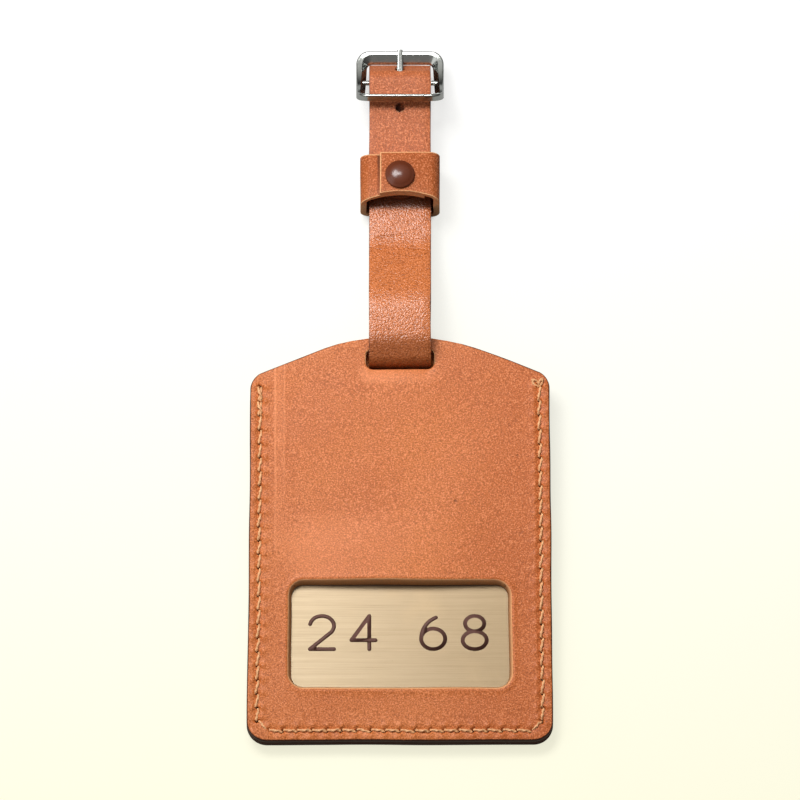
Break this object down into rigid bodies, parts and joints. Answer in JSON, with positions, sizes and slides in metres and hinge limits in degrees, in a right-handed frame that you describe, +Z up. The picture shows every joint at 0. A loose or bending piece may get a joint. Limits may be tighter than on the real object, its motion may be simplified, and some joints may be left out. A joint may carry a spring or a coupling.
{
  "type": "luggage tag",
  "caption": "Leather luggage tag: a stitched pouch with a window over a metal name plate, hung on a buckled strap with a riveted keeper.",
  "frame": {"origin": "under the middle of the whole tag as it lies on its back, at the height of the surface it lies on", "axes": "+X across the tag, +Y from the pouch to the buckle, +Z up out of the front"},
  "size_m": [0.0736, 0.1774, 0.0139],
  "materials": {
    "pouch_leather": "smooth tan leather, satin",
    "edge_paint": "painted dark edge",
    "strap_leather": "grained tan leather, satin",
    "thread": "waxed thread",
    "plate_brass": "brushed",
    "rivet_enamel": "gloss enamel",
    "rivet_steel": "plain",
    "buckle_steel": "satin nickel plate"
  },
  "bodies": {
    "pouch": {"front_panel": "pouch_leather", "back_panel": "pouch_leather", "edge_welt": "edge_paint", "panel_stitches": "thread"},
    "plate": {"name_plate": "plate_brass"},
    "strap": {"strap": "strap_leather", "fold_stitches": "thread"},
    "keeper": {"keeper_band": "strap_leather", "keeper_rivet_cap": "rivet_enamel", "keeper_rivet_post": "rivet_steel"},
    "buckle": {"buckle_frame": "buckle_steel", "buckle_bar": "buckle_steel"},
    "prong": {"buckle_prong": "buckle_steel"}
  },
  "joints": [
    {"name": "plate_slide", "type": "slide", "parent": "pouch", "child": "plate", "axis": [0, 0.9992, 0.0396], "range_m": [0, 0.0445]},
    {"name": "strap_swing", "type": "hinge", "parent": "pouch", "child": "strap", "pos_m": [0, 0.00731, 0.0069], "axis": [1, 0, 0], "range_deg": [0, 18]},
    {"name": "keeper_slide", "type": "slide", "parent": "strap", "child": "keeper", "axis": [0, 1, 0], "range_m": [-0.0105, 0.005]},
    {"name": "buckle_pivot", "type": "hinge", "parent": "strap", "child": "buckle", "pos_m": [0, 0.08017, 0.00691], "axis": [1, 0, 0], "range_deg": [0, 5]},
    {"name": "prong_swing", "type": "hinge", "parent": "buckle", "child": "prong", "pos_m": [0, 0.08017, 0.00691], "axis": [1, 0, 0], "range_deg": [0, 10]}
  ]
}
